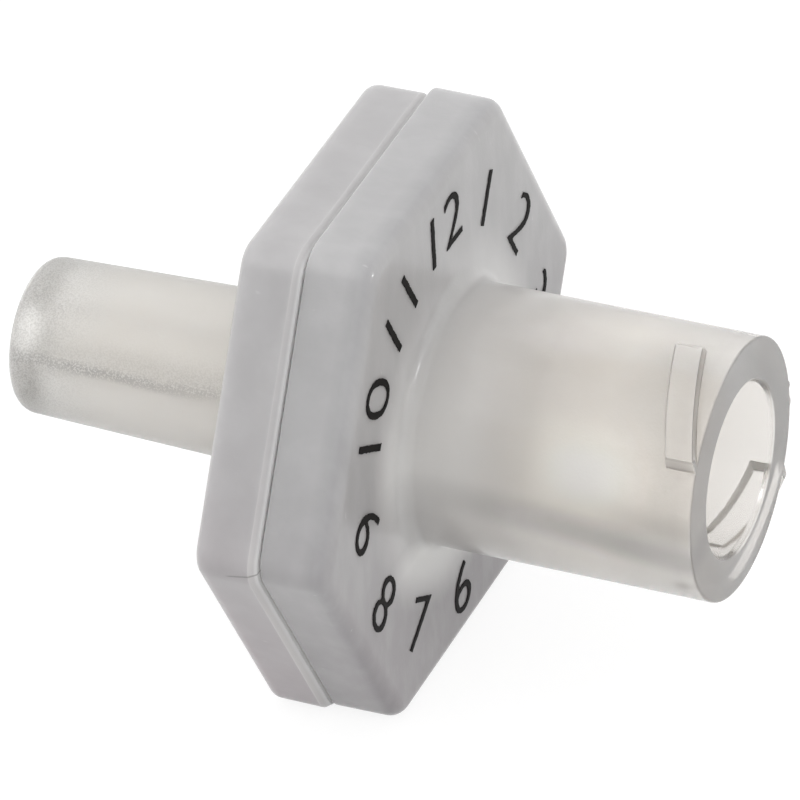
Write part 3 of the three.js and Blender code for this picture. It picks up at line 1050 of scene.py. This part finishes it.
def number_tree(bench, size):
    """Plain numbers round the face like a dial's, with the uneven edge of stamped ink.

    The top ones have their tops outwards, and the low ones are turned to read from below.
    """
    marks = []
    for number in range(1, PRINT_COUNT + 1):
        settings = {"align_x": "CENTER", "align_y": "MIDDLE"}
        sockets = {"String": str(number), "Size": size["Letter Size"]}
        text = bench.node("GeometryNodeStringToCurves", settings, sockets)
        curves = bench.node("GeometryNodeRealizeInstances", None, {"Geometry": text})
        low = number in PRINT_LOW
        angle = math.tau * number / PRINT_COUNT
        radius = PRINT_LOW_RADIUS if low else PRINT_RADIUS
        # Written in the plane of Y and Z: first lying flat, with its place on the dial.
        sockets = {
            "Geometry": bench.node("GeometryNodeResampleCurve", {"mode": "LENGTH"}, {
                "Curve": curves, "Length": size["Edge Step"],
            }),
            "Translation": (radius * MM * math.sin(angle), radius * MM * math.cos(angle), 0),
            "Rotation": (0, 0, (math.pi if low else 0) - angle),
            "Scale": (PRINT_WIDEN, 1, 1),
        }
        marks.append(bench.node("GeometryNodeTransform", None, sockets))
    dial = bench.node("GeometryNodeJoinGeometry", None, {"Geometry": marks})
    place = bench.node("GeometryNodeInputPosition")
    # The outline is drawn in by an uneven amount, because the stamp's strokes are thin.
    wear = bench.noise(place, scale=PRINT_WEAR_PER_MM / MM, detail=2.0, roughness=0.7)
    uneven = size["Thinning"] + size["Unevenness"] * (wear - 0.5)
    way = bench.node("GeometryNodeInputTangent")
    settings = {"operation": "CROSS_PRODUCT"}
    inwards = bench.node("ShaderNodeVectorMath", settings, {0: (0, 0, 1), 1: way})
    sockets = {"Geometry": dial, "Offset": bench.scaled(inwards, bench.vector(uneven, uneven, 0.0))}
    worn = bench.node("GeometryNodeSetPosition", None, sockets)
    filled = bench.node("GeometryNodeFillCurve", {"mode": "NGONS"}, {"Curve": worn})
    # Where a thin stroke's outline crosses itself it leaves specks, which are taken out.
    speck = bench.node("GeometryNodeInputMeshFaceArea") < size["Largest Speck"]
    sockets = {"Geometry": filled, "Selection": speck}
    filled = bench.node("GeometryNodeDeleteGeometry", {"domain": "FACE"}, sockets)
    sockets = {"Mesh": filled, "Offset Scale": size["Thickness"], "Individual": False}
    raised = bench.node("GeometryNodeExtrudeMesh", None, sockets)
    closed = bench.node("GeometryNodeJoinGeometry", None, {
        "Geometry": [raised, bench.node("GeometryNodeFlipFaces", None, {"Mesh": filled})],
    })
    # Stood up on the face: X of the dial along Y, its Y along Z.
    upright = bench.node("GeometryNodeTransform", None, {
        "Geometry": closed,
        "Translation": Vector((WELD_X + INLET_BODY["depth"], INLET_AXIS.y, INLET_AXIS.z)) * MM,
        "Rotation": (math.pi / 2, 0, math.pi / 2),
    })
    sockets = {"Geometry": upright, "Distance": SAME_PLACE_IN_PRINT}
    return bench.node("GeometryNodeMergeByDistance", None, sockets)


def make_print(material):
    piece = new_piece("number_ring", bpy.data.meshes.new("number_ring"))
    sizes = {
        "Letter Size": PRINT_LETTER_SIZE * MM,
        "Edge Step": PRINT_EDGE_STEP * MM,
        "Thinning": PRINT_THINNING * MM,
        "Unevenness": PRINT_UNEVENNESS * MM,
        "Thickness": PRINT_THICKNESS * MM,
        "Largest Speck": PRINT_LARGEST_SPECK * MM**2,
    }
    grow(piece, "number_dial", number_tree, sizes, material)
    return piece


# ---------------------------------------------------------------- stage


def white_when_seen(bench):
    """1 for rays from the camera, in a reflection or through the plastic, else 0."""
    path = bench.node("ShaderNodeLightPath")
    seen = path.out("Is Camera Ray").most(path.out("Is Glossy Ray"))
    return seen.most(path.out("Is Transmission Ray"))


# The floor: metres across, millimetres below the object, and how much of it glows when seen.
FLOOR_SIZE = 3.0
FLOOR_DROP = 0.02
FLOOR_COLOUR = (0.6, 0.6, 0.6)
FLOOR_GLOW_SHARE = 0.65
FLOOR_GLOW = 1.32


def make_floor():
    mesh = bpy.data.meshes.new("studio_floor")
    half, low = FLOOR_SIZE / 2, -FLOOR_DROP * MM
    corners = [(-half, -half, low), (half, -half, low), (half, half, low), (-half, half, low)]
    mesh.from_pydata(corners, [], [(0, 1, 2, 3)])
    floor = bpy.data.objects.new("studio_floor", mesh)
    bpy.context.scene.collection.objects.link(floor)
    material, bench = new_material("floor_paper")
    paper = bench.node("ShaderNodeBsdfDiffuse", None, {"Color": (*FLOOR_COLOUR, 1)})
    glow = bench.node("ShaderNodeEmission", None, {"Color": (1, 1, 1, 1), "Strength": FLOOR_GLOW})
    share = FLOOR_GLOW_SHARE * white_when_seen(bench)
    finish_material(bench, bench.node("ShaderNodeMixShader", None, {0: share, 1: paper, 2: glow}))
    mesh.materials.append(material)


# Light of the world: its level at the horizon, and how much more comes from above.
SKY_LEVEL = 0.85
SKY_RISE = 0.2

# Round lamps: name, direction from the object, distance and width in metres, and watts.
LAMPS = (
    ("key_lamp", (-0.3, -0.45, 0.85), 0.45, 0.4, 0.3),
    ("side_lamp", (0.9, -0.05, 0.42), 0.35, 0.05, 0.12),
)


def light_world():
    world = bpy.data.worlds.new("studio_world")
    bpy.context.scene.world = world
    world.use_nodes = True
    bench = Bench(world.node_tree)
    seen = white_when_seen(bench)
    _, _, height = bench.parts(bench.node("ShaderNodeTexCoord").out("Generated"))
    light = SKY_LEVEL + SKY_RISE * height
    strength = light + (1 - light) * seen
    back = bench.node("ShaderNodeBackground", None, {"Color": (1, 1, 1, 1), "Strength": strength})
    bench.node("ShaderNodeOutputWorld", None, {"Surface": back})


def add_lamp(name, direction, distance, size, watts):
    data = bpy.data.lights.new(name, "AREA")
    data.shape = "DISK"
    data.size = size
    data.energy = watts
    lamp = bpy.data.objects.new(name, data)
    bpy.context.scene.collection.objects.link(lamp)
    way = Vector(direction).normalized()
    turn = (-way).to_track_quat("-Z", "Y").to_matrix().to_4x4()
    lamp.matrix_world = Matrix.Translation(way * distance) @ turn


# ---------------------------------------------------------------- putting it together

place_camera()
bpy.context.scene.view_settings.view_transform = "Standard"
light_world()
for lamp in LAMPS:
    add_lamp(*lamp)
make_floor()

plastic_of_inlet = inlet_plastic()
plastic_of_outlet = outlet_plastic()

inlet = moulded("inlet_moulding", inlet_profile(), INLET_HALF_FLATS, INLET_AXIS, 1)
add_ribs(
    inlet, "spreader_ribs", INLET_AXIS, CHAMBER_DEPTH - SPREADER_HEIGHT,
    CHAMBER_DEPTH + RIB_OVERLAP, CHAMBER_RADIUS + RIB_OVERLAP, plastic_of_inlet,
)
burr_mouth(inlet)
add_lugs(inlet, plastic_of_inlet)
outlet = moulded("outlet_moulding", outlet_profile(), OUTLET_HALF_FLATS, OUTLET_AXIS, -1)
add_ribs(
    outlet, "drain_ribs", OUTLET_AXIS, -(POCKET_DEPTH + DRAIN_DEPTH + RIB_OVERLAP),
    -(POCKET_DEPTH + AIR), DRAIN_RADIUS + RIB_OVERLAP, plastic_of_outlet,
)
membrane = make_membrane()
membrane.data.materials.append(membrane_fabric())
ring = make_ring()
ring.data.materials.append(ring_plastic())
numbers = make_print(print_ink())

for piece, node, slot in (
    (inlet, "inlet_housing", "housing_plastic"),
    (outlet, "outlet_housing", "housing_plastic"),
    (membrane, "membrane", "membrane"),
    (ring, "membrane_ring", "ring_plastic"),
):
    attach(piece, "root")
    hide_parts(node)
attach(numbers, "root")
